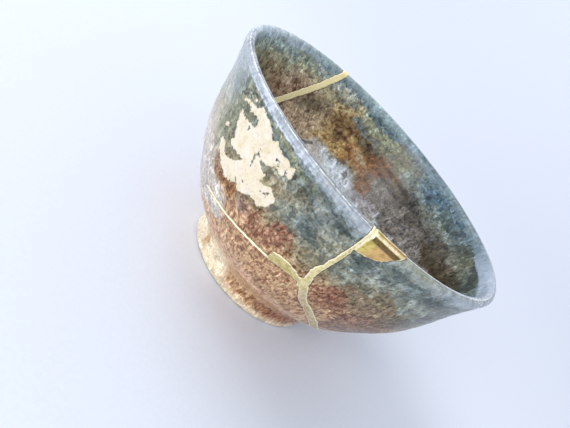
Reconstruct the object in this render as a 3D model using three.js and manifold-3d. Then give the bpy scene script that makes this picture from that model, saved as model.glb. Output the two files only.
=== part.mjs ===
// A hand-thrown tea bowl that broke into three shards and was mended with gold lacquer.
// Millimetres, +Z up. The origin is on the table under the middle of the foot.
import * as THREE from "three";
import { mergeVertices } from "three/addons/utils/BufferGeometryUtils.js";
import Module from "manifold-3d";

const wasm = await Module();
wasm.setup();

// Driving dimensions of the bowl
const rimRadius = 60;
const rimHeight = 64.1; // where the wall ends and the lip starts to round over
const lipThickness = 3.5;
const lipRound = 1.9; // how far the rounded top of the lip stands above rimHeight
const floorThickness = 6;
const footRadius = 27.6;
const footInnerRadius = 22;
const footRecess = 5.4; // height of the hollow under the foot
const footEdgeRound = 1.8;
const footInnerEase = 1; // the inside of the foot ring is eased at its edge and leans by this much

// Driving dimensions of the mend
const seamRise = 0.3; // the gold stands this far out of the glaze
const jointGap = 0.3; // clearance between the gold and the ceramic
const chipMiddleAngle = 289.5; // degrees round the bowl, from +X towards +Y
const slabReachOut = 9; // the cutting slabs reach this far past the outer skin
const slabReachIn = 2; // and this far past the inner one
const chipReachOut = 4; // the block that cuts the chip reaches this far out past the rim
const chipDepth = 14; // and is this deep

// Fineness of the faceted solids
const turns = 60;
const lipSteps = 4;
const seamStep = 5.5; // millimetres of seam for each slab step
const seamSight = 0.01; // fraction of a route looked ahead and back for its direction

// The outer skin of the bowl, from the middle of the underside up to the rim, without the foot ring
const skin = new THREE.SplineCurve([
  new THREE.Vector2(0, footRecess),
  new THREE.Vector2(14, footRecess),
  new THREE.Vector2(24, 6.4), // over the foot ring
  new THREE.Vector2(32.4, 11.9), // lower wall
  new THREE.Vector2(39.7, 18.1),
  new THREE.Vector2(45.8, 26.6), // belly
  new THREE.Vector2(51, 35.2),
  new THREE.Vector2(54.2, 44.2), // above the belly the wall straightens and flares a little
  new THREE.Vector2(56.8, 54.4),
  new THREE.Vector2(rimRadius, rimHeight),
]);
const skinLength = skin.getLength();

// A place on the skin at a distance from its middle, and the directions along and out of it there.
// Past the rim the skin runs straight on.
function skinPlace(distance) {
  const fraction = Math.min(distance / skinLength, 1);
  const up = skin.getTangentAt(fraction);
  const out = new THREE.Vector2(up.y, -up.x);
  const past = Math.max(distance - skinLength, 0);
  const point = skin.getPointAt(fraction).addScaledVector(up, past);
  return { point, up, out };
}

// The distance along the skin at which one of its coordinates, "x" or "y", reaches a value.
function skinDistance(axis, value) {
  let low = 0;
  let high = skinLength * 1.2; // past every height that a route uses
  for (let i = 0; i < 40; i++) {
    const middle = (low + high) / 2;
    if (skinPlace(middle).point[axis] < value) low = middle;
    else high = middle;
  }
  return low;
}

// The wall is thickest in the floor and thins towards the lip.
function wallThickness(distance) {
  const thinned = THREE.MathUtils.smoothstep(distance / skinLength, 0.1, 0.95);
  return THREE.MathUtils.lerp(floorThickness, lipThickness, thinned);
}

// The distances of the skin's own points and of the places halfway between them
const stations = skin.points.flatMap((point, i, points) => {
  const distance = skinDistance("x", point.x);
  if (i < 2) return [distance];
  return [(skinDistance("x", points[i - 1].x) + distance) / 2, distance];
});

// The closed outline of the bowl, from the axis in the hollow over the lip to the axis underneath.
// With a rise, the whole outline but the face it stands on lies that far outside the bowl.
function bowlOutline(rise) {
  const outline = stations.slice(0, -1).map((distance) => {
    const { point, out } = skinPlace(distance);
    return point.addScaledVector(out, -wallThickness(distance) - rise);
  });
  outline[0].x = 0;
  const lip = skinPlace(skinLength);
  const lipMiddle = lip.point.addScaledVector(lip.out, -lipThickness / 2);
  for (let i = 0; i <= lipSteps; i++) {
    const turn = (Math.PI * i) / lipSteps;
    outline.push(
      lipMiddle
        .clone()
        .addScaledVector(lip.out, -Math.cos(turn) * (lipThickness / 2 + rise))
        .addScaledVector(lip.up, Math.sin(turn) * (lipRound + rise)),
    );
  }
  const footTop = skinDistance("x", footRadius + rise);
  for (const distance of stations.slice(0, -1).reverse()) {
    if (distance < footTop) break;
    const { point, out } = skinPlace(distance);
    outline.push(point.addScaledVector(out, rise));
  }
  outline.push(skinPlace(footTop).point);
  for (let turn = 0; turn <= 90; turn += 30) {
    const angle = THREE.MathUtils.degToRad(turn);
    const x = footRadius + rise - footEdgeRound * (1 - Math.cos(angle));
    outline.push(new THREE.Vector2(x, footEdgeRound * (1 - Math.sin(angle))));
  }
  const inside = footInnerRadius - rise;
  outline.push(new THREE.Vector2(inside + footInnerEase, 0));
  outline.push(new THREE.Vector2(inside, footInnerEase));
  outline.push(new THREE.Vector2(inside - footInnerEase, footRecess - rise));
  outline.push(new THREE.Vector2(0, footRecess - rise));
  return outline;
}

// A closed geometry as a solid that can be cut and joined.
function solid(geometry) {
  geometry.deleteAttribute("normal");
  geometry.deleteAttribute("uv");
  const merged = mergeVertices(geometry, 1e-3);
  const corners = merged.index.array;
  const kept = [];
  for (let i = 0; i < corners.length; i += 3) {
    const [a, b, c] = corners.slice(i, i + 3);
    if (a !== b && b !== c && c !== a) kept.push(a, b, c);
  }
  return new wasm.Manifold(
    new wasm.Mesh({
      numProp: 3,
      vertProperties: merged.attributes.position.array,
      triVerts: new Uint32Array(kept),
    }),
  );
}

function bowlSolid(rise) {
  const lathe = new THREE.LatheGeometry(bowlOutline(rise).reverse(), turns);
  return solid(lathe.rotateX(Math.PI / 2));
}

// Routes of the cracks are drawn on the skin laid out flat: x and y are the distance along the skin
// from its middle, turned to the angle round the bowl, and z is the width of the gold there.
function onWall(degrees, height, width) {
  const angle = THREE.MathUtils.degToRad(degrees);
  const distance = skinDistance("y", height);
  return new THREE.Vector3(Math.cos(angle) * distance, Math.sin(angle) * distance, width);
}

function onFloor(degrees, radius, width) {
  const angle = THREE.MathUtils.degToRad(degrees);
  return new THREE.Vector3(Math.cos(angle) * radius, Math.sin(angle) * radius, width);
}

const rimCrack = new THREE.CatmullRomCurve3([
  onWall(285, 34.5, 2),
  onWall(284.2, 38.5, 2.2),
  onWall(283.6, 43, 1.9),
  onWall(283.9, 47, 1.3),
  onWall(283.9, 56, 1.2),
  onWall(283.3, 62, 1.2),
  onWall(282.8, 69, 1.2),
]);

const belly = [
  onWall(285.4, 37, 2.2),
  onWall(281.5, 37, 3.2),
  onWall(277, 36.7, 4.8),
  onWall(274, 35.9, 3.4),
  onWall(271.4, 34.2, 1.2),
  onWall(265.5, 32.8, 1.1),
];
const roundTheBack = [
  onWall(248.5, 29.5, 1.1),
  onWall(236, 27.7, 1),
  onWall(226, 26, 1.1),
  onWall(212, 25.2, 1.2),
  onWall(196, 27.4, 1.8),
];
const farWall = [
  onWall(178, 31.6, 2.2),
  onWall(162, 37, 2.5),
  onWall(148.7, 42.6, 2.7),
  onWall(141, 48.9, 2.7),
  onWall(134.3, 55.4, 2.7),
  onWall(129, 62.3, 2.6),
  onWall(125, 69, 2.4),
];
const longCrack = new THREE.CatmullRomCurve3([...belly, ...roundTheBack, ...farWall]);

const lowerWall = [
  onWall(283, 38, 2.4),
  onWall(286, 35.6, 3),
  onWall(291, 31.2, 3.1),
  onWall(298, 27.2, 3.4),
  onWall(306, 23.4, 3.3),
  onWall(313, 19.5, 3),
  onWall(325, 15.5, 2.6),
  onWall(336, 12.7, 2.3),
  onWall(347, 10.6, 2.1),
];
const acrossTheFloor = [
  onFloor(356, 28, 2),
  onFloor(2, 21, 1.9),
  onFloor(12, 12, 1.8),
  onFloor(110, 3, 1.8),
  onFloor(174, 14, 1.6),
  onFloor(180, 26, 1.6),
];
const upTheBack = [onWall(179, 12.5, 1.7), onWall(176.5, 21, 1.8), onWall(178, 31.8, 1.9)];
const footCrack = new THREE.CatmullRomCurve3([...lowerWall, ...acrossTheFloor, ...upTheBack]);

// A slab that follows a crack and runs square through the wall, as wide as the gold plus some spare.
function crackSlab(route, spare) {
  const steps = Math.ceil(route.getLength() / seamStep);
  const slab = new THREE.BoxGeometry(1, 1, 1, steps, 1, 1);
  const place = slab.attributes.position;
  const skinPoint = (fraction) => {
    const flat = route.getPoint(THREE.MathUtils.clamp(fraction, 0, 1));
    const distance = Math.hypot(flat.x, flat.y);
    const around = new THREE.Vector3(flat.x / distance, flat.y / distance, 0);
    const { point, out } = skinPlace(distance);
    return {
      width: flat.z,
      thickness: wallThickness(distance),
      point: around.clone().multiplyScalar(point.x).setZ(point.y),
      out: around.clone().multiplyScalar(out.x).setZ(out.y),
    };
  };
  for (let i = 0; i < place.count; i++) {
    const along = place.getX(i) + 0.5;
    const here = skinPoint(along);
    const ahead = skinPoint(along + seamSight).point.sub(skinPoint(along - seamSight).point);
    const across = ahead.cross(here.out).normalize();
    const through = place.getY(i) > 0 ? slabReachOut : -here.thickness - slabReachIn;
    here.point.addScaledVector(here.out, through);
    here.point.addScaledVector(across, place.getZ(i) * (here.width + spare));
    place.setXYZ(i, here.point.x, here.point.y, here.point.z);
  }
  return solid(slab);
}

// The half-moon chip in the lip, drawn on the wall as seen from outside and driven through it:
// x is the distance right of the chip's middle and y the height.
function chipBlock(spare) {
  const left = -5.7 - spare;
  const top = rimHeight + 5;
  const outline = new THREE.Shape();
  outline.moveTo(left, top);
  outline.lineTo(left, 57.6 - spare);
  outline.quadraticCurveTo(-2, 58.2 - spare, 0.6, 59.7 - spare);
  outline.quadraticCurveTo(2.6 + spare, 61.2 - spare, 3.1 + spare, 63.6 - spare);
  outline.lineTo(5 + spare, 66 - spare);
  outline.lineTo(7 + spare, top);
  const block = new THREE.ExtrudeGeometry(outline, {
    depth: chipDepth,
    bevelEnabled: false,
    curveSegments: 4,
  });
  block.rotateX(Math.PI / 2).translate(0, chipDepth - chipReachOut - rimRadius, 0);
  block.rotateZ(THREE.MathUtils.degToRad(chipMiddleAngle - 270));
  return solid(block);
}

// The body of a broken solid that holds a small cube set at a place in its wall.
function bodyAt(bodies, degrees, distance) {
  const angle = THREE.MathUtils.degToRad(degrees);
  const { point, out } = skinPlace(distance);
  point.addScaledVector(out, -wallThickness(distance) / 2);
  const cube = new THREE.BoxGeometry(1, 1, 1);
  cube.translate(Math.cos(angle) * point.x, Math.sin(angle) * point.x, point.y);
  const probe = solid(cube);
  return bodies.find((body) => body.intersect(probe).volume() > 0);
}

// A named mesh of a finished solid.
function piece(name, body, material) {
  const { numProp, vertProperties, triVerts } = body.getMesh();
  const places = new Float32Array((vertProperties.length / numProp) * 3);
  for (let i = 0; i < places.length / 3; i++) {
    places.set(vertProperties.subarray(i * numProp, i * numProp + 3), i * 3);
  }
  const geometry = new THREE.BufferGeometry();
  geometry.setAttribute("position", new THREE.BufferAttribute(places, 3));
  geometry.setIndex(new THREE.BufferAttribute(triVerts, 1));
  geometry.computeVertexNormals();
  const mesh = new THREE.Mesh(geometry, material);
  mesh.name = name;
  return mesh;
}

const glaze = (color) => new THREE.MeshStandardMaterial({ color, roughness: 0.4, metalness: 0 });
const gold = (color) => new THREE.MeshStandardMaterial({ color, roughness: 0.5, metalness: 0.8 });

const cracks = [longCrack, footCrack, rimCrack];
const shards = cracks
  .reduce((bowl, crack) => bowl.subtract(crackSlab(crack, 2 * jointGap)), bowlSolid(0))
  .subtract(chipBlock(jointGap))
  .decompose();
const seam = cracks
  .map((crack) => crackSlab(crack, 0))
  .reduce((joined, slab) => joined.add(slab))
  .intersect(bowlSolid(seamRise));
const fill = chipBlock(0)
  .intersect(bowlSolid(seamRise))
  .subtract(crackSlab(rimCrack, 2 * jointGap));

const wallMiddle = skinLength * 0.8;
const floorEdge = skinDistance("x", footRadius);
const bowl = new THREE.Group();
bowl.add(
  piece("gilded_wall_shard", bodyAt(shards, 240, wallMiddle), glaze(0x8f9a96)),
  piece("plain_wall_shard", bodyAt(shards, 0, wallMiddle), glaze(0x7e8a90)),
  piece("foot_shard", bodyAt(shards, 270, floorEdge), glaze(0xa07c68)),
  piece("gold_lacquer_seam", seam, gold(0xd8c68a)),
  piece("gold_rim_fill", fill, gold(0xc2a25c)),
);

export default bowl;
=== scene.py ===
"""A kintsugi bowl: three glazed stoneware shards, gold lacquer in the cracks, a gold fill in the lip."""

import math

import bmesh
import bpy
import numpy as np
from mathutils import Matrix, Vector, kdtree, noise


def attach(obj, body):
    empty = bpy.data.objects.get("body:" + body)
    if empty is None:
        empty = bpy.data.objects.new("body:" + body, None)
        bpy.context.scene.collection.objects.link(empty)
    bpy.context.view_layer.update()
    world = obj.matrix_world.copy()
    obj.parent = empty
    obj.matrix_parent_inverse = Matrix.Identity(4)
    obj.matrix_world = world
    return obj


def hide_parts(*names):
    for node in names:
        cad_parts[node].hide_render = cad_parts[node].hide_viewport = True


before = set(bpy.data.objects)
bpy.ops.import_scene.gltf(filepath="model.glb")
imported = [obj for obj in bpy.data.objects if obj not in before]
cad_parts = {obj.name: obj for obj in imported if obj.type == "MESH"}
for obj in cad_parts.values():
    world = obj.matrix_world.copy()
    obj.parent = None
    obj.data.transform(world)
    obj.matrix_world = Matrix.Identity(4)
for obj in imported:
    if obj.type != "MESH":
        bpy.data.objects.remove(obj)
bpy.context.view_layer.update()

bl_info = {
    "name": "Kintsugi Bowl",
    "version": (1, 0, 0),
    "blender": (4, 5, 0),
    "location": "View3D > Sidebar > Kintsugi",
    "description": "Builds a broken tea bowl mended with gold lacquer",
    "category": "Object",
}

MM = 0.001


def rgb(code):
    """Linear colour of an sRGB colour written as six hex digits."""
    parts = [int(code[i : i + 2], 16) / 255 for i in (0, 2, 4)]
    return tuple(p / 12.92 if p <= 0.04045 else ((p + 0.055) / 1.055) ** 2.4 for p in parts)


def length_property(name, default_mm, description):
    return bpy.props.FloatProperty(
        name=name, description=description, default=default_mm * MM, unit="LENGTH", precision=5
    )


def colour_property(name, code, description):
    return bpy.props.FloatVectorProperty(
        name=name, description=description, default=rgb(code), subtype="COLOR", min=0, max=1
    )


def property_group(title, words, kind, defaults):
    """A group of like properties, from the default and the description of each."""
    properties = {
        key: kind(key.replace("_", " ").capitalize(), default, text)
        for key, (default, text) in defaults.items()
    }
    parents = (bpy.types.PropertyGroup,)
    return type(title, parents, {"__doc__": words, "__annotations__": properties})


BowlSizes = property_group(
    "BowlSizes",
    "Sizes of the thrown bowl",
    length_property,
    {
        "rim_radius": (60, "Outside radius where the lip starts to round over"),
        "wall_height": (64.1, "Height at which the lip starts to round over"),
        "lip_thickness": (3.5, "Thickness of the wall under the lip"),
        "lip_round": (1.9, "How far the round of the lip stands above the wall"),
        "floor_thickness": (6, "Thickness of the bowl's floor"),
        "foot_radius": (27.6, "Outside radius of the foot ring"),
        "foot_inner_radius": (22, "Inside radius of the foot ring"),
        "foot_recess": (5.4, "Height of the hollow inside the foot ring"),
        "foot_round": (1.8, "Round of the foot ring's outer edge"),
        "foot_fillet": (4.0, "Hollow round where the wall meets the foot ring"),
        "throwing_relief": (0.09, "Depth of the rings left by the fingers"),
        "wobble": (0.16, "How far the wall strays from a true round"),
    },
)


GoldSizes = property_group(
    "GoldSizes",
    "Sizes of the gold mend",
    length_property,
    {
        "rise": (0.24, "How far the gold stands out of the glaze"),
        "ridge": (0.05, "Extra height of the ridge along the gold's edges"),
        "ragged": (0.25, "How far the gold's edges wander"),
        "tuck": (0.25, "How far the gold reaches over the glaze beside a crack"),
    },
)


# Glazes of the bowl and their sRGB colours
GLAZES = {
    "lip_blue": "a5aeb5",
    "lip_sage": "a2a79b",
    "lip_mist": "b5c1ca",
    "lip_sky": "a9b6ca",
    "lip_slate": "6f828f",
    "lip_haze": "9cb0b6",
    "lip_pale": "cddde9",
    "mist": "a3a69f",
    "slate": "6b7571",
    "deep_slate": "434f4a",
    "blue_slate": "586b75",
    "navy": "3c5263",
    "smoke": "524e4a",
    "sea": "84887b",
    "moss": "7e8066",
    "olive": "897c5c",
    "straw": "a59c80",
    "sandy": "b8a286",
    "hay": "bb9f68",
    "ochre": "9f7339",
    "rust": "70491f",
    "brick": "946a50",
    "bark": "8f6c51",
    "rose_clay": "bb976f",
    "clay": "a9795a",
    "biscuit": "d6ab88",
    "tan": "c3a07a",
    "sage": "919984",
    "ash": "c9beb2",
    "lavender": "6c6864",
    "lilac": "9c979e",
    "cream": "efdfc1",
    "white": "d4dde8",
    "umber": "42392a",
    "dusk": "383f3b",
}

GlazeColours = property_group(
    "GlazeColours",
    "Colours of the glazes",
    colour_property,
    {key: (code, f"Colour of the glaze called {key}") for key, code in GLAZES.items()},
)


GoldColours = property_group(
    "GoldColours",
    "Colours of the gold",
    colour_property,
    {
        "lacquer": ("eadba6", "Gold dust on lacquer in the rim crack"),
        # Cream gold along the ridges, brightened into a painted highlight
        "pale_lacquer": ("fbf1c8", "Where the gold is thick and bright"),
        "belly": ("d6c78c", "Gold in the wide belly of the long crack"),
        # Cream gold of the thin lines, and the painted highlights across the rim fill
        "cream_gold": ("fff4d2", "Bright cream gold of the thin lines"),
        # Pale straw gold of the far line, painted brighter still as a highlight against the shade inside the
        # bowl
        "straw_gold": ("fff0b6", "Bright straw gold across the far wall"),
        "worn_lacquer": ("d8c4a2", "Where the gold is worn to the lacquer"),
        "rubbed": ("c3bab4", "Where the gold has rubbed off the thin line"),
        "fill_yellow": ("ddc874", "Yellow end of the rim fill"),
        "fill_tan": ("dcb274", "Warm middle of the rim fill"),
        "fill_shade": ("5f4a1e", "Dark band under the lip of the rim fill"),
        "leaf": ("e9dcc4", "Gold leaf on the wall"),
    },
)


class StageLook(bpy.types.PropertyGroup):
    """Camera, floor and light"""

    lens: bpy.props.FloatProperty(name="Lens", description="Focal length in millimetres", default=38.99)
    floor_colour: colour_property("Floor", "e0e9fa", "Colour of the floor and its backdrop")
    sky_strength: bpy.props.FloatProperty(name="Sky strength", description="Light of the sky", default=0.7)
    key_power: bpy.props.FloatProperty(
        name="Key power", description="Power of the large soft light", default=3.6, unit="POWER"
    )


def look(name):
    return getattr(bpy.context.scene, name)


# ---------------------------------------------------------------- shape of the bowl

# Places that the outer wall passes through above the foot: radius, height
WALL_KNOTS = ((32.4, 11.9), (39.7, 18.1), (45.8, 26.6), (51, 35.2), (54.2, 44.2), (56.8, 54.4))
KNOT_STEPS = 60  # steps of the wall's curve from one knot to the next
OUTLINE_STEP = 0.8  # millimetres between the rings of the thrown bowl
LIP_STEPS = 14  # steps round the lip
FOOT_STEPS = 7  # steps of the hollow above the foot ring, and of its outer edge
EASE_STEPS = 5  # steps of the small rounds inside the foot ring
FOOT_TAPER = 0.15  # how much narrower the foot ring is under the hollow round
FOOT_EASE = 1.0  # radius of the small rounds inside the foot ring
CEILING_STEPS = 15  # steps across the hollow of the foot
TURNS = 400  # facets round the bowl
SECTORS = 16  # equal parts that it is spun in
RING_PITCH = 4.3  # millimetres from one throwing ring to the next


def unit(vectors):
    return vectors / np.linalg.norm(vectors, axis=1)[:, None]


def quarter_turn(steps):
    return np.linspace(0, math.pi / 2, steps + 1)


class Skin:
    """The outer skin of the bowl in millimetres, from the middle of its underside up to the rim."""

    def __init__(self):
        sizes = look("bowl_sizes")
        self.sizes = {key: getattr(sizes, key) / MM for key in BowlSizes.__annotations__}
        recess = self.sizes["foot_recess"]
        rim = (self.sizes["rim_radius"], self.sizes["wall_height"])
        knots = np.array([(0, recess), (14, recess), (24, recess + 1), *WALL_KNOTS, rim], float)
        curve = []
        for i in range(len(knots) - 1):
            a, b = knots[i], knots[i + 1]
            lead_in = (b - knots[max(i - 1, 0)]) / 2
            lead_out = (knots[min(i + 2, len(knots) - 1)] - a) / 2
            for t in np.linspace(0, 1, KNOT_STEPS, endpoint=False):
                cubic = (2 * a - 2 * b + lead_in + lead_out) * t**3
                square = (3 * b - 3 * a - 2 * lead_in - lead_out) * t**2
                curve.append(cubic + square + lead_in * t + a)
        curve.append(knots[-1])
        self.curve = np.array(curve)
        steps = np.hypot(*np.diff(self.curve, axis=0).T)
        self.along = np.concatenate([[0], np.cumsum(steps)])
        self.length = self.along[-1]
        self.tangent = unit(np.gradient(self.curve, self.along, axis=0))

    def place(self, distance):
        """Radius, height and outward direction of the skin at a distance; straight on past the rim."""
        past = np.maximum(distance - self.length, 0)
        up = [np.interp(distance, self.along, self.tangent[:, i]) for i in (0, 1)]
        spot = [np.interp(distance, self.along, self.curve[:, i]) + up[i] * past for i in (0, 1)]
        return spot[0], spot[1], up[1], -up[0]

    def thickness(self, distance):
        """Thickness of the stoneware, which thins smoothly from the floor to the lip."""
        share = smoothstep(0.1, 0.95, np.asarray(distance) / self.length)
        floor, lip = self.sizes["floor_thickness"], self.sizes["lip_thickness"]
        return floor + (lip - floor) * share

    def at_height(self, height):
        """Distance along the skin of a height on it, or straight on past the rim."""
        last = self.curve[-1]
        if height > last[1]:
            return self.length + (height - last[1]) / self.tangent[-1][1]
        return float(np.interp(height, self.curve[:, 1], self.along))

    def at_radius(self, radius):
        return float(np.interp(radius, self.curve[:, 0], self.along))

    def outline(self, step):
        """The closed outline, as (radius, height), from the axis inside to the axis underneath."""
        s = self.sizes
        inner = np.linspace(0, self.length, int(self.length / step))
        r, z, out_r, out_z = self.place(inner)
        wall = self.thickness(inner)
        points = list(zip(r - out_r * wall, z - out_z * wall))
        points[0] = (0, points[0][1])
        r, z, out_r, out_z = (float(v) for v in self.place(self.length))
        half = s["lip_thickness"] / 2
        for turn in np.linspace(0, math.pi, LIP_STEPS + 1)[1:-1]:
            over = s["lip_round"] * math.sin(turn)
            across = -half - half * math.cos(turn)
            points.append((r + out_r * across - out_z * over, z + out_z * across + out_r * over))
        foot, edge, fillet = s["foot_radius"], s["foot_round"], s["foot_fillet"]
        meet = float(self.place(self.at_radius(foot))[1])
        top = self.at_radius(foot + fillet)
        outer = np.linspace(self.length, top, int((self.length - top) / step))
        points += list(zip(*self.place(outer)[:2]))
        start, corner, end = points[-1], (foot, meet), (foot - FOOT_TAPER, meet - fillet)
        for t in np.linspace(0, 1, FOOT_STEPS + 1)[1:]:
            mix = [(1 - t) ** 2 * a + 2 * t * (1 - t) * b + t * t * c for a, b, c in zip(start, corner, end)]
            points.append(tuple(mix))
        for turn in quarter_turn(FOOT_STEPS):
            points.append((foot - edge * (1 - math.cos(turn)), edge * (1 - math.sin(turn))))
        inside, ceiling, ease = s["foot_inner_radius"], s["foot_recess"], FOOT_EASE
        for turn in quarter_turn(EASE_STEPS):
            points.append((inside + ease * (1 - math.sin(turn)), ease * (1 - math.cos(turn))))
        for turn in quarter_turn(EASE_STEPS):
            points.append((inside - ease * (2 - math.cos(turn)), ceiling - ease * (1 - math.sin(turn))))
        points += [(radius, ceiling) for radius in np.linspace(inside - 3 * ease, 0, CEILING_STEPS + 1)]
        return points


def uneven(spot, height_mm, bowl):
    """How far the thrower's hand left the wall inside its true shape, in millimetres."""
    lumps = noise.noise(spot * 26) + 0.5 * noise.noise(spot * 70)
    wave = math.sin(math.tau * (height_mm / RING_PITCH + spot.x * 6 + 0.6 * noise.noise(spot * 30)))
    rings = bowl.sizes["throwing_relief"] * (0.6 + 0.4 * noise.noise(spot * 18)) * (wave - 1)
    above_foot = min(max((height_mm - 1.5) / 5, 0), 1)
    return above_foot * (bowl.sizes["wobble"] * (lumps - 1.2) / 1.6 + rings)


def linked(name, data):
    """A new object in the scene."""
    obj = bpy.data.objects.new(name, data)
    bpy.context.scene.collection.objects.link(obj)
    return obj


def mesh_of(name, bm):
    mesh = bpy.data.meshes.new(name)
    bm.to_mesh(mesh)
    bm.free()
    return mesh


def thrown_bowl(name, bowl):
    """The whole bowl before it broke, spun from its outline and left a little uneven."""
    ready = bpy.data.meshes.get("thrown_bowl")
    if ready is None:
        bm = bmesh.new()
        ring = [bm.verts.new((r * MM, 0, z * MM)) for r, z in bowl.outline(OUTLINE_STEP)]
        edges = [bm.edges.new(pair) for pair in zip(ring, ring[1:])]
        turn = {"cent": (0, 0, 0), "axis": (0, 0, 1)}
        sector = math.tau / SECTORS
        bmesh.ops.spin(bm, geom=ring + edges, angle=sector, steps=TURNS // SECTORS, **turn)
        geom = bm.verts[:] + bm.edges[:] + bm.faces[:]
        rest = {"angle": math.tau - sector, "steps": SECTORS - 1, "use_duplicate": True}
        bmesh.ops.spin(bm, geom=geom, **rest, **turn)
        bmesh.ops.remove_doubles(bm, verts=bm.verts, dist=MM / 1000)
        bmesh.ops.recalc_face_normals(bm, faces=bm.faces)
        bm.normal_update()
        for vert in bm.verts:
            vert.co += vert.normal * uneven(vert.co, vert.co.z / MM, bowl) * MM
        ready = mesh_of("thrown_bowl", bm)
    return linked(name, ready.copy())


# ---------------------------------------------------------------- the cracks

# Places along each crack: degrees round the bowl, height on the outer skin, and how far the gold
# reaches to the left and, where it differs, to the right of someone walking along it up the wall.
RIM_CRACK = (
    (285, 34.5, 1), (284.8, 37.2, 1.4, 1.5), (284.6, 39, 1.35, 1.3), (284, 41, 1.2, 1),
    (283.7, 43, 1.5, 0.9), (283.7, 45, 1.25, 0.75), (283.8, 46.5, 0.85, 0.75), (283.9, 50, 0.75),
    (283.9, 54, 0.65, 0.7), (283.8, 57, 0.55, 0.6), (283.5, 60, 0.45, 0.5), (283.1, 63, 0.4, 0.45),
    (282.8, 66, 0.4), (282.6, 69.5, 0.4),
)
LONG_CRACK = (
    (286.2, 37, 0.8), (284.5, 36.8, 1), (282.7, 36.2, 0.5, 1.7), (280, 35.8, 0.5, 2.9),
    (277.5, 35.4, 0.5, 3.6), (275, 34.8, 0.5, 4), (273, 34.1, 0.5, 3.9), (272, 33.8, 0.5, 3.4),
    (271.5, 33.7, 0.5, 2.4), (271.1, 33.6, 0.45, 0.6), (270, 33.5, 0.5), (265.5, 32.8, 0.52),
    (258, 31.4, 0.52), (248.5, 29.5, 0.5), (242, 28.5, 0.48), (236, 27.7, 0.5), (232.5, 26.9, 0.45),
    (229, 25, 0.42), (224, 23.8, 0.45), (212, 23.6, 0.6), (196, 27, 0.9), (178, 31.6, 1.1),
    (162, 37, 1.2), (148.7, 42.6, 1.4), (141, 48.9, 1.45), (134.3, 55.4, 1.45), (129, 62.3, 1.4),
    (125, 69.5, 1.3),
)
FOOT_CRACK = (
    (283.6, 38.2, 1.2), (285.4, 36.6, 1.4, 1.5), (288, 33.6, 1.5), (291.2, 30.6, 1.6),
    (295.9, 28.5, 1.6), (301.2, 25.7, 1.6), (306, 23.4, 1.6), (313, 19.5, 1.5), (325, 15.5, 1.3),
    (336, 12.7, 1.1), (347, 10.6, 1),
)
# The foot crack goes on under the bowl, and then up the back. Under it: degrees, radius, half width.
UNDER_CRACK = ((356, 28, 1.0), (2, 21, 0.95), (12, 12, 0.9), (110, 3, 0.9), (174, 14, 0.8), (180, 26, 0.8))
BACK_CRACK = ((179, 12.5, 0.85), (176.5, 21, 0.9), (178, 32.2, 0.95))

STATION_STEP = 0.35  # millimetres between the stations along a crack
FAR = 6.0  # millimetres past the gold where distances stop counting
END_REACH = 0.3  # how far the gold reaches past the end of a crack
FOOT_MARGIN = 6  # the foot counts as thick this far outside the foot ring
FOOT_DEPTHS = (2.5, 5, 7.5)  # depths in the foot at which a crack's stations are repeated
BLADE_LEAST = 0.12  # least half width of the blade that cuts a crack
BLADE_OUT = 2.5  # how far the blade stands out of the wall
BLADE_OUT_AT_FOOT = 12.0  # and how far where it goes through the foot ring
BLADE_IN = 2.0  # how far the blade stands into the bowl


def smooth_route(knots, step):
    """Points a step apart on a smooth curve through the knots; the first two columns set the length."""
    knots = np.array(knots, float)
    gaps = np.hypot(*np.diff(knots[:, :2], axis=0).T)
    along = np.concatenate([[0], np.cumsum(gaps)])
    slopes = np.gradient(knots, along, axis=0)
    spots = np.linspace(0, along[-1], int(along[-1] / step))
    span = np.clip(np.searchsorted(along, spots, side="right") - 1, 0, len(along) - 2)
    width = (along[span + 1] - along[span])[:, None]
    t = ((spots - along[span]) / width[:, 0])[:, None]
    a, b, sa, sb = knots[span], knots[span + 1], slopes[span] * width, slopes[span + 1] * width
    curve = (2 * t**3 - 3 * t**2 + 1) * a + (t**3 - 2 * t**2 + t) * sa
    curve += (3 * t**2 - 2 * t**3) * b + (t**3 - t**2) * sb
    for column in range(2, knots.shape[1]):
        curve[:, column] = np.interp(spots, along, knots[:, column])
    return curve


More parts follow.
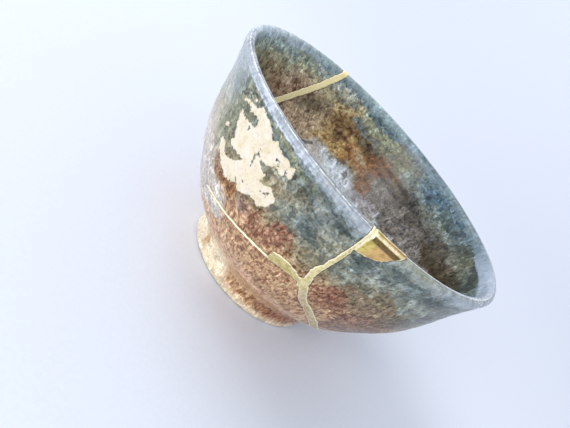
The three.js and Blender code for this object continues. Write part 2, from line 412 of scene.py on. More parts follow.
class Crack:
    """One crack as stations on the skin, with its directions and the reach of the gold there."""

    def __init__(self, bowl, wall, under=(), back=(), seed=0.0):
        flat = [self.lay_flat(a, bowl.at_height(h), *reach) for a, h, *reach in wall]
        flat += [self.lay_flat(a, r, half) for a, r, half in under]
        flat += [self.lay_flat(a, bowl.at_height(h), *reach) for a, h, *reach in back]
        route = smooth_route(flat, STATION_STEP)
        distance = np.hypot(route[:, 0], route[:, 1])
        around = route[:, :2] / distance[:, None]
        radius, height, out_r, out_z = bowl.place(distance)
        self.spot = np.column_stack([around * radius[:, None], height])
        self.out = np.column_stack([around * out_r[:, None], out_z])
        self.across = unit(np.cross(np.gradient(self.spot, axis=0), self.out))
        self.ahead = unit(np.cross(self.out, self.across))
        self.wall = bowl.thickness(distance)
        self.foot = distance < bowl.at_radius(bowl.sizes["foot_radius"] + FOOT_MARGIN)
        self.reach = route[:, 2:4].copy()
        self.wander(seed)
        self.tree = kdtree.KDTree(len(distance) * 2 + int(self.foot.sum()) * len(FOOT_DEPTHS))
        for i, spot in enumerate(self.spot):
            self.tree.insert(spot, i)
            self.tree.insert(spot - self.out[i] * self.wall[i], i)
            if self.foot[i]:
                for deep in FOOT_DEPTHS:
                    self.tree.insert(spot + self.out[i] * deep, i)
        self.tree.balance()

    @staticmethod
    def lay_flat(degrees, distance, left, right=None):
        angle = math.radians(degrees)
        right = left if right is None else right
        return (math.cos(angle) * distance, math.sin(angle) * distance, left, right)

    def wander(self, seed):
        """Lets both edges of the gold stray, more where it is wide."""
        ragged = look("gold_sizes").ragged / MM
        for i, spot in enumerate(self.spot):
            for side in (0, 1):
                at = Vector(spot + 40 * side + seed)
                stray = noise.noise(at * 0.9) + 0.8 * noise.noise(at * 2.4)
                self.reach[i, side] += ragged * (0.55 + 0.35 * min(self.reach[i, side], 2)) * stray

    def gap(self, spots):
        """For points in millimetres: distance past the gold's edge (negative on the gold), and half width."""
        gap = np.full(len(spots), FAR)
        half = np.ones(len(spots))
        last = len(self.spot) - 1
        for k, spot in enumerate(spots):
            _, i, away = self.tree.find(spot)
            if away > FAR * 1.5:
                continue
            lean = spot - self.spot[i]
            side = float(lean @ self.across[i])
            half[k] = self.reach[i, 0 if side < 0 else 1]
            gap[k] = abs(side) - half[k]
            beyond = float(lean @ self.ahead[i]) * (1 if i == last else -1)
            if i in (0, last) and beyond > END_REACH:
                gap[k] = max(gap[k], beyond - END_REACH)
        return gap, half

    def blade(self, name, spare):
        """A closed slab along the crack, through the wall, as wide as the gold plus spare on each side."""
        sections = []
        for i in range(0, len(self.spot), 2):
            left, right = np.maximum(self.reach[i] + spare, BLADE_LEAST)
            outer = self.spot[i] + self.out[i] * (BLADE_OUT_AT_FOOT if self.foot[i] else BLADE_OUT)
            inner = self.spot[i] - self.out[i] * (self.wall[i] + BLADE_IN)
            left, right = self.across[i] * -left, self.across[i] * right
            ring = (outer + left, outer + right, inner + right, inner + left)
            sections.append([Vector(corner) * MM for corner in ring])
        return sweep(name, sections)


def sweep(name, sections):
    """A closed solid through equal rings of corners, extruded from the first to the last."""
    bm = bmesh.new()
    start = end = bm.faces.new([bm.verts.new(corner) for corner in sections[0]])
    for ring in sections[1:]:
        made = bmesh.ops.extrude_face_region(bm, geom=[end])["geom"]
        if end is not start:
            bm.faces.remove(end)
        end = next(part for part in made if isinstance(part, bmesh.types.BMFace))
        for vert, corner in zip(end.verts, ring):
            vert.co = corner
    bmesh.ops.recalc_face_normals(bm, faces=bm.faces)
    return linked(name, mesh_of(name, bm))


# ---------------------------------------------------------------- the chip in the lip

CHIP_ANGLE = 289.5  # degrees round the bowl of the chip's middle
# The chip as seen from outside: millimetres right of its middle, and height
CHIP_OUTLINE = (
    (-5.9, 70), (-5.9, 57.6), (-4.2, 57.8), (-2.2, 58.3), (-0.6, 59.0), (0.9, 59.8),
    (1.9, 60.9), (2.5, 62.2), (3.2, 63.6), (4.2, 64.9), (5.2, 66.2), (7.0, 70),
)
CHIP_BLOCK_START = 48  # millimetres from the axis to the inner face of the block that cuts the chip
CHIP_BLOCK_DEPTH = 16  # how far the block reaches outwards from there
RAGGED_BAND = 2  # the chip's edge is made ragged this far to each side


def chip_axes():
    """Directions to the right and outwards where the chip is, for someone facing it."""
    turn = math.radians(CHIP_ANGLE)
    return np.array([-math.sin(turn), math.cos(turn), 0]), np.array([math.cos(turn), math.sin(turn), 0])


def line_gap(spots, a, b):
    """Distance of flat points from the straight line between two places."""
    share = np.clip(((spots - a) @ (b - a)) / ((b - a) @ (b - a)), 0, 1)
    return np.hypot(*(spots - a - share[:, None] * (b - a)).T)


def outline_gap(spots, outline):
    """Signed distance of flat points past a closed outline, negative inside."""
    ends = np.array(outline, float)
    starts = np.roll(ends, 1, axis=0)
    inside = np.zeros(len(spots), bool)
    nearest = np.full(len(spots), np.inf)
    for a, b in zip(starts, ends):
        nearest = np.minimum(nearest, line_gap(spots, a, b))
        if a[1] != b[1]:
            crosses = (a[1] > spots[:, 1]) != (b[1] > spots[:, 1])
            inside ^= crosses & (spots[:, 0] < (b[0] - a[0]) * (spots[:, 1] - a[1]) / (b[1] - a[1]) + a[0])
    return np.where(inside, -nearest, nearest)


def chip_gap(spots):
    """Distance past the ragged edge of the rim fill, negative on the fill."""
    right, out = chip_axes()
    near_side = spots @ out > 0
    gap = outline_gap(np.column_stack([spots @ right, spots[:, 2]]), CHIP_OUTLINE)
    for k in np.nonzero((np.abs(gap) < RAGGED_BAND) & near_side)[0]:
        at = Vector(spots[k])
        gap[k] += 0.16 * noise.noise(at * 1.1) + 0.10 * noise.noise(at * 3.2)
    return np.where(near_side, gap, FAR)


def chip_block(name, spare):
    """A block through the lip in the outline of the chip, larger by spare."""
    right, out = (Vector(axis) for axis in chip_axes())
    shape = np.array(CHIP_OUTLINE, float)
    middle = shape.mean(axis=0)
    bm = bmesh.new()
    corners = []
    for i, corner in enumerate(shape):
        side = shape[(i + 1) % len(shape)] - shape[i - 1]
        side /= np.linalg.norm(side)
        off = np.array([side[1], -side[0]])
        if off @ (corner - middle) < 0:
            off = -off
        x, z = corner + off * spare
        corners.append(bm.verts.new((right * x + out * CHIP_BLOCK_START + Vector((0, 0, z))) * MM))
    face = bm.faces.new(corners)
    made = bmesh.ops.extrude_face_region(bm, geom=[face])["geom"]
    verts = [part for part in made if isinstance(part, bmesh.types.BMVert)]
    bmesh.ops.translate(bm, vec=out * CHIP_BLOCK_DEPTH * MM, verts=verts)
    bmesh.ops.recalc_face_normals(bm, faces=bm.faces)
    return linked(name, mesh_of(name, bm))


# ---------------------------------------------------------------- working on meshes


def carve(obj, cutter, operation):
    """Cuts obj with cutter, keeps the result in its mesh."""
    change = obj.modifiers.new("carve", "BOOLEAN")
    change.operation = operation
    change.object = cutter
    change.solver = "MANIFOLD"
    depsgraph = bpy.context.evaluated_depsgraph_get()
    mesh = bpy.data.meshes.new_from_object(obj.evaluated_get(depsgraph))
    obj.modifiers.clear()
    obj.data = mesh
    if not mesh.polygons:
        raise RuntimeError(f"nothing is left of {obj.name} after {operation} with {cutter.name}")
    return obj


def discard(*objects):
    for obj in objects:
        bpy.data.objects.remove(obj)


def vectors_of(items, key):
    flat = np.empty(len(items) * 3)
    items.foreach_get(key, flat)
    return flat.reshape(-1, 3)


def spots_of(mesh):
    """The places of a mesh's vertices, in millimetres."""
    return vectors_of(mesh.vertices, "co") / MM


def loose_parts(obj):
    bpy.ops.object.select_all(action="DESELECT")
    bpy.context.view_layer.objects.active = obj
    obj.select_set(True)
    bpy.ops.object.mode_set(mode="EDIT")
    bpy.ops.mesh.select_all(action="SELECT")
    bpy.ops.mesh.separate(type="LOOSE")
    bpy.ops.object.mode_set(mode="OBJECT")
    return list(bpy.context.selected_objects)


def refine(obj, wanted):
    """Cuts the edges of the faces whose middles are wanted in three, given a test on millimetre points."""
    bm = bmesh.new()
    bm.from_mesh(obj.data)
    bm.faces.ensure_lookup_table()
    middles = np.array([face.calc_center_median() for face in bm.faces]) / MM
    chosen = [bm.faces[i] for i in np.nonzero(wanted(middles))[0]]
    edges = list({edge for face in chosen for edge in face.edges})
    bmesh.ops.subdivide_edges(bm, edges=edges, cuts=2, use_grid_fill=True)
    bmesh.ops.triangulate(bm, faces=[face for face in bm.faces if len(face.verts) > 4])
    bm.to_mesh(obj.data)
    bm.free()


def shade_smooth(obj, degrees):
    """Smooth shading that keeps edges sharper than the angle."""
    obj.data.shade_smooth()
    bpy.context.view_layer.objects.active = obj
    obj.data.set_sharp_from_angle(angle=math.radians(degrees))


def keep_layer(mesh, name, values):
    """Keeps a number or a colour for each vertex of the mesh."""
    kind, key = ("FLOAT", "value") if values.ndim == 1 else ("FLOAT_COLOR", "color")
    layer = mesh.attributes.new(name, kind, "POINT")
    layer.data.foreach_set(key, np.ascontiguousarray(values, np.float32).ravel())


# ---------------------------------------------------------------- measures on the bowl


def smoothstep(low, high, value):
    """0 up to low and 1 from high, with an ease between; the other way round where low is above high."""
    t = np.clip((value - low) / (high - low), 0, 1)
    return t * t * (3 - 2 * t)


def window(value, start, full, fade, end):
    """1 from full to fade, easing to 0 at start and at end."""
    return smoothstep(start, full, value) * smoothstep(end, fade, value)


def across_zero(degrees, start, full, fade, end):
    """The same for a stretch of the bowl that runs across 0 degrees."""
    return np.clip(smoothstep(start, full, degrees) + smoothstep(end, fade, degrees), 0, 1)


def wrapped(degrees):
    return (degrees + 180) % 360 - 180


def round_the_bowl(spots):
    """Radius and degrees round the bowl of points in millimetres."""
    x, y = spots[:, 0], spots[:, 1]
    return np.hypot(x, y), np.degrees(np.arctan2(y, x)) % 360


def lip_turn(radius, height, bowl):
    """Degrees round the lip: 0 where its outer side starts, 90 on its crest, 180 inside."""
    sizes = bowl.sizes
    middle = sizes["rim_radius"] - sizes["lip_thickness"] / 2
    up = (height - sizes["wall_height"]) / (sizes["lip_round"] + 0.5)
    return np.degrees(np.arctan2(up, (radius - middle) / (sizes["lip_thickness"] / 2)))


SLICE = 4000  # points measured at a time


def skin_position(radius, height, bowl):
    """Distance along the skin and depth under it of points given by radius and height."""
    distance = np.empty(len(radius))
    depth = np.empty(len(radius))
    curve, tangent = bowl.curve, bowl.tangent
    for start in range(0, len(radius), SLICE):
        part = slice(start, start + SLICE)
        gap = (radius[part, None] - curve[None, :, 0]) ** 2 + (height[part, None] - curve[None, :, 1]) ** 2
        best = gap.argmin(axis=1)
        lean_r, lean_z = radius[part] - curve[best, 0], height[part] - curve[best, 1]
        distance[part] = bowl.along[best]
        depth[part] = -(lean_r * tangent[best, 1] - lean_z * tangent[best, 0])
    return distance, depth


# ---------------------------------------------------------------- painting the glaze

# The glaze down each side of the wall where nothing else lies on it: height and glaze
OUTSIDE_BANDS = (
    (9, "tan"), (15, "biscuit"), (21, "tan"), (28, "rose_clay"), (37, "rose_clay"), (43, "olive"),
    (50, "sea"), (56, "sea"), (61, "slate"),
)
INSIDE_BANDS = (
    (30, "white"), (36, "lavender"), (44, "lavender"), (50, "smoke"), (56, "slate"), (62, "blue_slate"),
)
# Pools of glaze on the outside: glaze, degrees, height, half width in degrees, half height, strength
OUTSIDE_POOLS = (
    ("mist", 206, 54, 18, 17, 0.9),
    ("lip_blue", 214, 62, 14, 3.5, 0.7),
    ("straw", 219, 41, 17, 6, 0.9),
    ("ash", 217, 28, 16, 10, 0.95),
    ("ash", 236, 29, 12, 7, 0.75),
    ("moss", 232, 58, 6, 7, 0.85),
    ("moss", 229, 49, 5, 6, 0.7),
    ("slate", 222, 58, 3, 3, 0.5),
    ("ochre", 238, 36.6, 4, 1.4, 0.95),
    ("ochre", 243.5, 37.4, 4, 1.5, 1.0),
    ("ochre", 248, 38.8, 3, 1.5, 0.95),
    ("ochre", 233, 39, 2, 2, 0.5),
    ("olive", 254, 42, 5, 2.2, 0.5),
    ("olive", 257, 47, 5, 5, 0.5),
    ("straw", 256, 52, 6, 3.5, 0.6),
    ("mist", 252.5, 37.6, 2.6, 2.2, 0.55),
    ("brick", 269, 42.5, 6, 5, 0.6),
    ("brick", 261, 37.5, 7, 3, 0.6),
    ("slate", 268, 59, 6, 4, 0.8),
    ("deep_slate", 265.6, 58.3, 2.2, 2.6, 0.85),
    ("deep_slate", 262.5, 52.5, 2, 3, 0.4),
    ("mist", 273, 56.5, 4, 2, 0.6),
    ("slate", 272, 52, 5, 3, 0.8),
    ("deep_slate", 275.5, 49.8, 3.4, 1.5, 0.8),
    ("deep_slate", 276.5, 59.4, 6, 1.8, 0.85),
    ("straw", 281, 53, 4, 3, 0.5),
    ("olive", 264, 55, 2.5, 3, 0.5),
    ("moss", 250, 62.5, 9, 1.2, 0.7),
    ("moss", 258, 62, 6, 1.6, 0.6),
    ("mist", 270.5, 60, 2, 1.6, 0.6),
    ("slate", 290, 56, 5, 4, 0.8),
    ("deep_slate", 287.5, 56.5, 2.6, 1.6, 0.7),
    ("deep_slate", 300, 61.2, 8, 1.4, 0.85),
    ("deep_slate", 299.5, 52, 5.5, 1.3, 0.8),
    ("mist", 298, 55.5, 4, 2.2, 0.5),
    ("slate", 295, 48, 3, 2.5, 0.7),
    ("slate", 305, 59, 6, 3.5, 0.7),
    ("mist", 312, 55.5, 4, 2, 0.45),
    ("olive", 305, 48, 8, 5, 0.7),
    ("brick", 293, 39, 7, 5.5, 0.65),
    ("brick", 303, 37, 7, 5, 0.55),
    ("sea", 306, 42.5, 4, 2.5, 0.4),
    ("bark", 313, 38, 8, 6, 0.7),
    ("olive", 316, 45, 7, 4, 0.6),
    ("deep_slate", 316, 59.6, 5, 1.8, 0.85),
    ("deep_slate", 325, 61.5, 5, 1.6, 0.6),
    ("slate", 331, 54, 9, 7, 0.8),
    ("umber", 327, 40, 8, 12, 0.45),
    # partly brown glaze and partly painted shade: this pool low on the right is darker, as if this side lay
    # close on the floor
    ("bark", 317, 28, 13, 8, 0.75),
    ("slate", 20, 57, 28, 4, 0.5),
    ("olive", 66, 46, 22, 5, 0.5),
    ("brick", 112, 40, 24, 6, 0.5),
    ("mist", 160, 54, 24, 9, 0.6),
    ("ash", 170, 26, 26, 8, 0.5),
)
# Pools on the inside, in the same form, heights on the inner wall
INSIDE_POOLS = (
    ("sage", 160, 59.5, 34, 5, 0.9),
    ("lip_haze", 155, 63, 24, 2.2, 0.6),
    ("straw", 148, 54, 32, 3.4, 0.85),
    ("sandy", 150, 49, 26, 4, 0.8),
    ("olive", 167, 51, 8, 3, 0.7),
    ("sandy", 126, 43.5, 24, 7, 0.9),
    ("olive", 123, 50, 11, 3.2, 0.6),
    ("umber", 133, 48.5, 6, 2, 0.55),
    ("straw", 121, 55.5, 7, 3, 0.7),
    ("mist", 122, 61.5, 14, 2.6, 0.6),
    ("moss", 148, 61, 6, 2, 0.5),
    ("bark", 142, 51.5, 5, 2.2, 0.6),
    ("rust", 152, 46.5, 7, 3, 0.5),
    ("umber", 184, 48, 10, 6, 0.6),
    ("blue_slate", 60, 61, 28, 4.5, 0.7),
    ("navy", 40, 62, 4, 3.5, 0.8),
    ("navy", 58, 61.5, 4, 2.2, 0.6),
    ("deep_slate", 46, 58, 5, 2.5, 0.6),
    ("sea", 27, 60, 5, 3, 0.5),
    ("dusk", 14, 55, 17, 9, 0.92),
    ("umber", 26, 48, 18, 5, 0.85),
    ("smoke", 33, 53, 9, 3, 0.6),
    ("moss", 22, 57, 5, 2, 0.35),
    ("sea", 25, 55, 4, 2, 0.5),
    ("sea", 13, 57.5, 4, 1.4, 0.4),
    ("umber", 62, 48, 9, 2, 0.5),
    ("smoke", 68, 50, 14, 2.6, 0.85),
    ("umber", 80, 50, 7, 2.6, 0.85),
    ("moss", 88, 58, 10, 4.5, 0.85),
    ("umber", 84, 56, 7, 4.5, 0.55),
    ("sage", 103, 58.5, 10, 3, 0.7),
    ("lilac", 84, 36, 11, 3, 0.8),
    ("lilac", 73, 37, 6, 2, 0.5),
    ("rust", 90, 48.5, 8, 3.6, 0.9),
    ("rust", 102, 48.5, 10, 5, 0.9),
    ("ochre", 97, 46, 6, 2.6, 0.6),
    ("brick", 108, 46.5, 5, 2.4, 0.7),
    ("bark", 92, 42, 10, 3, 0.75),
    ("ochre", 105, 42.5, 7, 3, 0.6),
    ("rust", 110, 50.5, 6, 3.4, 0.8),
    ("umber", 112, 52, 4, 1.5, 0.6),
    ("moss", 99, 51.5, 4, 1.6, 0.6),
    ("lavender", 101, 37.5, 5, 1.8, 0.8),
    ("moss", 96, 38, 7, 2, 0.55),
    ("rust", 84, 40.5, 5, 2.2, 0.75),
    ("hay", 113, 40, 6, 5.5, 0.9),
    ("hay", 115, 56, 5, 3, 0.6),
    ("umber", 99, 50, 4, 1.6, 0.7),
    ("umber", 110, 47.5, 4, 1.3, 0.6),
    ("straw", 96, 45.5, 3, 1.2, 0.6),
    ("hay", 105, 49, 3, 1.2, 0.6),
    ("umber", 57, 39, 5, 2, 0.5),
    ("white", 106, 33.5, 10, 3.6, 1.0),
    ("white", 95, 32, 8, 2, 0.6),
    ("ash", 119, 33, 8, 3, 0.7),
    ("rust", 228, 42, 22, 6, 0.6),
    ("blue_slate", 290, 54, 30, 6, 0.6),
    ("olive", 330, 42, 18, 6, 0.6),
)
# The thin glaze round the lip: degrees and glaze
LIP_TONES = (
    (5, "lip_sky"), (28, "lip_slate"), (78, "lip_slate"), (96, "lip_haze"), (136, "lip_haze"),
    (166, "lip_pale"), (192, "lip_pale"), (206, "lip_blue"), (276, "lip_blue"), (292, "lip_sage"),
    (304, "lip_sage"), (318, "lip_mist"), (334, "lip_mist"), (348, "lip_sky"),
)
# Sides of the lip that differ, in glaze and in the painted highlights and shade along it: degrees where each
# starts, is full, fades and ends
LEFT_LIP = (218, 230, 256, 268)
NEAR_LIP = (190, 206, 284, 290)
RIGHT_LIP = (288, 296, 340, 352)
FAR_LIP = (340, 352, 120, 140)
EVEN_LIP = (335, 350, 16, 32)
# Stretches of the foot ring that the cream slip left bare: glaze, degrees where it starts and is full
FOOT_STRETCHES = (("tan", 255, 268), ("rose_clay", 276, 288), ("clay", 290, 302), ("tan", 350, 362))


def earthiness(paint):
    """How warm a colour is, from 0 for grey and blue to 1 for brown."""
    return smoothstep(0.3, 0.66, 1 - paint[:, 2] / np.maximum(paint[:, 0], 0.01))


class GlazeCoat:
    """The glazes of one shard, laid one over the other at its points in millimetres."""

    def __init__(self, spots, bowl):
        self.bowl = bowl
        self.colours = {name: np.array(getattr(look("glaze_colours"), name)) for name in GLAZES}
        self.radius, self.degrees = round_the_bowl(spots)
        self.height = spots[:, 2]
        distance, self.depth = skin_position(self.radius, self.height, bowl)
        self.inside = self.depth > bowl.thickness(distance) / 2
        self.warp = np.array([noise.noise_vector(Vector(s) * 0.16) for s in spots])
        self.warp += 0.5 * np.array([noise.noise_vector(Vector(s) * 0.5) for s in spots])
        self.swayed = self.degrees + self.warp[:, 0] * 2.6
        self.raised = self.height + self.warp[:, 2] * 2.4
        self.lay_bands()
        self.lay_pools()
        self.grain = np.where(self.inside, 1.0, smoothstep(11, 24, self.height) * 0.6 + 0.4)
        self.glaze_lip()
        self.glaze_foot()

    def both_sides(self, outside, inside):
        return ((outside, ~self.inside), (inside, self.inside))

    def lay_bands(self):
        """The glaze down the wall where nothing else lies on it."""
        self.paint = np.empty((len(self.height), 3))
        for bands, side in self.both_sides(OUTSIDE_BANDS, INSIDE_BANDS):
            levels = [level for level, _ in bands]
            tones = np.array([self.colours[name] for _, name in bands])
            for channel in range(3):
                self.paint[side, channel] = np.interp(self.raised[side], levels, tones[:, channel])

    def lay_pools(self):
        """The pools as a second glaze, and how far it covers the first."""
        self.bloom = self.paint.copy()
        self.cover = np.zeros(len(self.height))
        known = np.full(len(self.height), 0.02)
        for pools, side in self.both_sides(OUTSIDE_POOLS, INSIDE_POOLS):
            for name, at, up, wide, tall, strength in pools:
                away = np.hypot(wrapped(self.swayed - at) / wide, (self.raised - up) / tall)
                weight = side * strength * smoothstep(2.2, 0.8, away)
                known = known * (1 - weight) + weight
                self.bloom += (self.colours[name] - self.bloom) * (weight / known)[:, None]
                self.cover += (1 - self.cover) * side * strength * smoothstep(1.45, 0.5, away)

    def lay(self, colour, weight):
        """Lays a glaze, or a colour for each point, over both of the glazes so far."""
        weight = np.clip(weight, 0, 1)
        colour = self.colours[colour] if isinstance(colour, str) else colour
        self.paint = self.paint + (colour - self.paint) * weight[:, None]
        self.cover = self.cover * (1 - weight)

    def glaze_lip(self):
        """The thin glaze over the lip, which runs lower on some sides, and the calmer stretches."""
        inside, degrees, warp = self.inside, self.degrees, self.warp[:, 1]
        left, right = window(degrees, *LEFT_LIP), window(degrees, *RIGHT_LIP)
        even = across_zero(degrees, *EVEN_LIP)
        crest = self.bowl.sizes["wall_height"]
        low, high = crest - 2.6 + 2.0 * left - 0.8 * right, crest + 0.9 - 0.8 * left
        outer = smoothstep(low, high, self.height + warp * (1.6 - left))
        low, high = crest - 2.2 - 0.6 * even, crest + 0.8 - 2.9 * even
        inner = smoothstep(low, high, self.height + warp * (2.2 - 1.7 * even))
        thin = np.where(inside, inner, outer)
        turns = [at for at, _ in LIP_TONES]
        tones = np.array([self.colours[name] for _, name in LIP_TONES])
        tone = np.column_stack([np.interp(degrees, turns, tones[:, i], period=360) for i in range(3)])
        self.lay(tone, thin * np.where(inside, 0.8 + 0.12 * even, 0.9 - 0.12 * right))
        self.grain *= 1 - thin * np.where(inside, 0.5 + 0.3 * even, 0.55)
        self.grain *= 1 - 0.55 * ~inside * window(degrees, 170, 190, 218, 234)
        self.grain *= 1 - 0.5 * inside * smoothstep(39, 36, self.raised) * smoothstep(70, 86, degrees)
        self.sides = {
            "left_lip": left,
            "near_lip": window(degrees, *NEAR_LIP),
            "far_lip": across_zero(degrees, *FAR_LIP),
            "right_lip": right,
        }

    def glaze_foot(self):
        """Cream slip on the foot ring, with bare clay where it was held, and a cuff of it above."""
        height, degrees, warp = self.height, self.swayed, self.warp[:, 1]
        foot = ~self.inside * smoothstep(0.2, 0.7, -self.depth)
        self.lay("cream", foot)
        for name, start, full in FOOT_STRETCHES:
            self.lay(name, foot * smoothstep(start, full, degrees + 2 * (height - 5)))
        self.lay("tan", foot * smoothstep(200, 180, degrees) * 0.7)
        thumb = np.hypot(wrapped(degrees - 230) / 4.5, (height - 5.8) / 2.6)
        self.lay("ochre", foot * smoothstep(1.3, 0.4, thumb) * 0.8)
        cuff = ~self.inside * smoothstep(15, 9, self.raised + 0.6 * warp)
        self.lay("cream", cuff * window(degrees, 232, 243, 252, 266) * 0.8)
        edge = 3.1 + 0.5 * warp
        self.lay("cream", smoothstep(edge + 0.5, edge - 0.5, height) * smoothstep(24, 26, self.radius) * 0.9)
        under = (height < 6) & (self.radius < self.bowl.sizes["foot_radius"] - 1)
        self.lay("tan", under * 0.8)
        sandy = 0.5 + 0.5 * smoothstep(256, 272, self.degrees) * (height > edge)
        self.grain = np.where((foot > 0.5) | under, sandy, self.grain)

    def layers(self):
        """What the shader reads at each point."""
        near_crest = self.height > self.bowl.sizes["wall_height"] - 3
        return {
            "glaze": np.column_stack([self.paint, earthiness(self.paint)]),
            "bloom": np.column_stack([self.bloom, self.cover]),
            "bloom_earthy": earthiness(self.bloom),
            "grain": self.grain,
            "lip_turn": np.where(near_crest, lip_turn(self.radius, self.height, self.bowl), -90),
            "inside": self.inside * 1.0,
            **self.sides,
        }


# ---------------------------------------------------------------- the gold leaf

# Outlines of the worn leaf and of the holes in it: degrees round the bowl, height
LEAF_PATCHES = (
    (
        (230, 58.5), (232.5, 59.5), (234.5, 60), (237, 60.5), (238.5, 61.5), (239.5, 63), (241, 62.5),
        (244.5, 62), (247, 61), (247, 60), (248.5, 59.5), (250, 61), (251.5, 60), (253, 59.5),
        (256, 60), (257, 59), (256.5, 57.5), (257, 56), (256, 55), (254.5, 56), (253, 55),
        (251, 53.5), (248.5, 53), (248.5, 52), (251, 51), (253, 51), (253, 50), (252.5, 48.5),
        (254, 48.5), (256.5, 50), (258, 50), (260.5, 49), (260, 47.5), (259.5, 45.5), (257, 43),
        (255.5, 43.5), (253, 43), (250.5, 41), (249, 40), (247.5, 40), (247, 41.5), (245, 39.5),
        (241.5, 38), (237.5, 38.5), (235, 39.5), (231.5, 41), (229.5, 43), (230.5, 44), (233, 44),
        (234.5, 42.5), (236.5, 42), (238.5, 43), (240.5, 44), (243, 46.5), (245.5, 48), (243.5, 47.5),
        (240, 47), (236, 46), (235, 47), (235.5, 48.5), (233.5, 51), (231.5, 54), (231.5, 55.5),
        (235, 55), (238, 56), (240.5, 56.5), (241.5, 58), (240, 59.5), (237, 59), (235.5, 58),
        (234.5, 59), (233, 59), (230.5, 58),
    ),
    ((256.8, 58.3), (257.5, 59.5), (258.5, 60.5), (259, 59), (259, 57.5), (258.5, 56.5), (257.5, 57)),
    ((234.6, 61), (235, 61.8), (236, 62.2), (236.4, 61.6)),
    ((227.3, 47.4), (228.5, 48.6), (229.6, 48), (228.5, 47.4)),
)
LEAF_HOLES = (
    (
        (246.3, 54.8), (247, 53.6), (248.7, 53.6), (247.5, 52.6), (246.8, 51.8), (247.1, 50.6),
        (247.6, 48.8), (247, 48.4), (246.4, 50), (245.8, 52), (246.3, 53.2),
    ),
    ((255.8, 47), (257, 47.2), (257.6, 46.8), (257.8, 48.6), (257, 48.8), (257, 47.8), (256, 47.6)),
    ((253.4, 56), (254.4, 55.8), (254.8, 57), (253.6, 56.7)),
    ((252.3, 58.7), (252.2, 57.4), (252.6, 56.8), (253.2, 57.4), (254.2, 57), (254, 57.6), (252.8, 58)),
    ((245, 42.2), (246.7, 41), (246.5, 40.4), (244.8, 41.8)),
    ((247.8, 43), (248, 43.6), (248.6, 43.4), (248.4, 42.8)),
    ((254, 45.6), (255, 46.2), (255.2, 46.7), (254.3, 46.2)),
    ((237.4, 55.1), (238.6, 55.6), (239.1, 54.4), (238.4, 53.9)),
)
# Dark strokes of iron that curl round the edge of the leaf
IRON_STROKES = (
    ((228.5, 56.3), (227.5, 57), (227.5, 58.5), (228.5, 60), (230.5, 61.5), (232, 62), (233.5, 62)),
    ((228.7, 58.5), (229.5, 59.8), (231, 60.5), (232.5, 60.5), (233.5, 60)),
    ((232.5, 62.4), (234, 62.6), (235.5, 62.8)),
    ((247.2, 60.2), (248.5, 59.6), (249.6, 60.2)),
    ((259.3, 56), (259.6, 57.5), (259.8, 59.2)),
)
LEAF_MIDDLE = 245  # degrees round the bowl
WALL_RADIUS = 55  # millimetres from the axis to the wall, about where the leaf lies


def flat_map(degrees, height):
    """Millimetres across and up the near wall, of places in degrees and height."""
    return np.column_stack([np.radians(np.asarray(degrees) - LEAF_MIDDLE) * WALL_RADIUS, height])


def leaf_gap(spots):
    """Distance past the edge of the gold leaf, and past the iron strokes, at millimetre points."""
    radius, degrees = round_the_bowl(spots)
    flat = flat_map(degrees, spots[:, 2])
    gap = np.full(len(spots), FAR)
    for patch in LEAF_PATCHES:
        gap = np.minimum(gap, outline_gap(flat, flat_map(*zip(*patch))))
    for hole in LEAF_HOLES:
        gap = np.maximum(gap, -outline_gap(flat, flat_map(*zip(*hole))))
    ink = np.full(len(spots), FAR)
    for stroke in IRON_STROKES:
        line = flat_map(*zip(*stroke))
        for a, b in zip(line, line[1:]):
            ink = np.minimum(ink, line_gap(flat, a, b))
    on_wall = radius > 40
    return np.where(on_wall, np.maximum(gap, -FAR), FAR), np.where(on_wall, ink, FAR)


# ---------------------------------------------------------------- materials

# Tints that the mottling multiplies a glaze by: on grey glazes, and on brown ones
DEEP = ((0.38, 0.41, 0.43), (0.42, 0.32, 0.27))
LIGHT = ((1.6, 1.62, 1.66), (1.4, 1.49, 1.6))
TOASTED = (0.98, 0.84, 0.58)
RED_FLECK = (0.52, 0.34, 0.27)
PALE_FLECK = (1.4, 1.45, 1.5)
LEAF_SHADE = (0.6, 0.6, 0.48)
DULL_GOLD = (0.68, 0.64, 0.45)
DARK_GRAIN = (0.66, 0.6, 0.45)
# Lines along the lip: bands of thin glaze, painted highlights on its edges in the palest, and painted shade
# near its crest in the darkest. Columns: side, degrees round the lip, half width, strength and colour
LIP_GLAZE_AND_LIGHT_LINES = (
    ("left_lip", 1, 12, 0.8, "e2e8ee"),
    ("near_lip", 28, 8, 0.4, "b4b4cc"),
    ("near_lip", 42, 7, 0.5, "8a919c"),
    ("near_lip", 56, 7, 0.85, "eef2f6"),
    ("near_lip", 70, 7, 0.85, "4c4843"),
    ("far_lip", 72, 8, 0.6, "56606c"),
    ("far_lip", 92, 9, 0.5, "dce4ee"),
    ("right_lip", 66, 10, 0.5, "4a4f52"),
    ("right_lip", 85, 11, 0.9, "eaf0f5"),
)
# The shader's own colours
# Pale and dark streaks down the near side of the lip: runs in the glaze, the pale ones with painted sheen
LIP_RUNS_AND_SHEEN = ("dde4ee", "858ea2")
# Painted shadow beside the raised gold
GOLD_SHADOW_LINE = "473b28"
IRON = "37352a"
# Painted shadow along the torn edge of the gold leaf
LEAF_EDGE_SHADOW = "4c4530"
LEAF_DUST, LEAF_BLUSH, LEAF_RUB = "dfd2b0", "f2e6da", "b3a47c"


